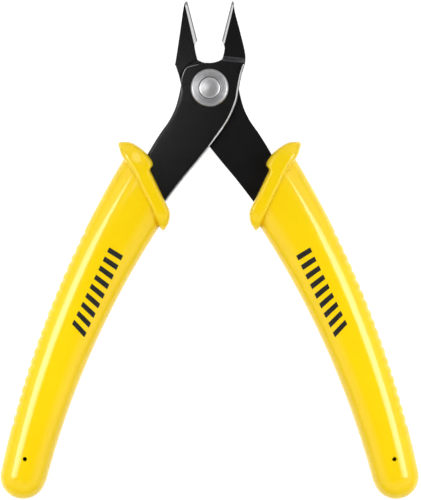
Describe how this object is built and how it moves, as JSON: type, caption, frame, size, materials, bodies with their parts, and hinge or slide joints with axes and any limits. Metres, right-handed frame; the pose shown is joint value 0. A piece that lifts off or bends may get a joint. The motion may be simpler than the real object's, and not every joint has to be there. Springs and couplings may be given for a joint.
{
  "type": "flush cut pliers",
  "caption": "Small flush cut pliers: lapped steel halves on a rivet, sprung open by a wire, with moulded yellow grips and thumb guards.",
  "frame": {"origin": "middle of the rivet's rear face, on the pivot axis", "axes": "+Z along the pivot axis, out of the front face; +Y towards the jaw tips; +X to the right seen from the front"},
  "size_m": [0.0998, 0.1188, 0.013],
  "materials": {
    "black_steel": "satin black oxide",
    "bright_steel": "turned, bright",
    "spring_steel": "drawn wire",
    "black_print": "ink printed on the grips",
    "yellow_grip": "glossy moulded vinyl"
  },
  "bodies": {
    "front_arm": {"front_half": "black_steel", "pivot_rivet": "bright_steel", "pivot_collar": "bright_steel", "return_spring": "spring_steel", "front_grip": "yellow_grip"},
    "rear_arm": {"rear_half": "black_steel", "rear_grip": "yellow_grip"}
  },
  "joints": [
    {"name": "squeeze", "type": "hinge", "parent": "front_arm", "child": "rear_arm", "pos_m": [0, 0, 0.005], "axis": [0, 0, -1], "range_deg": [0, 28.6], "stiffness_Nm_per_rad": 0.4, "springref_deg": -14.32, "deforming": ["return_spring"]}
  ]
}
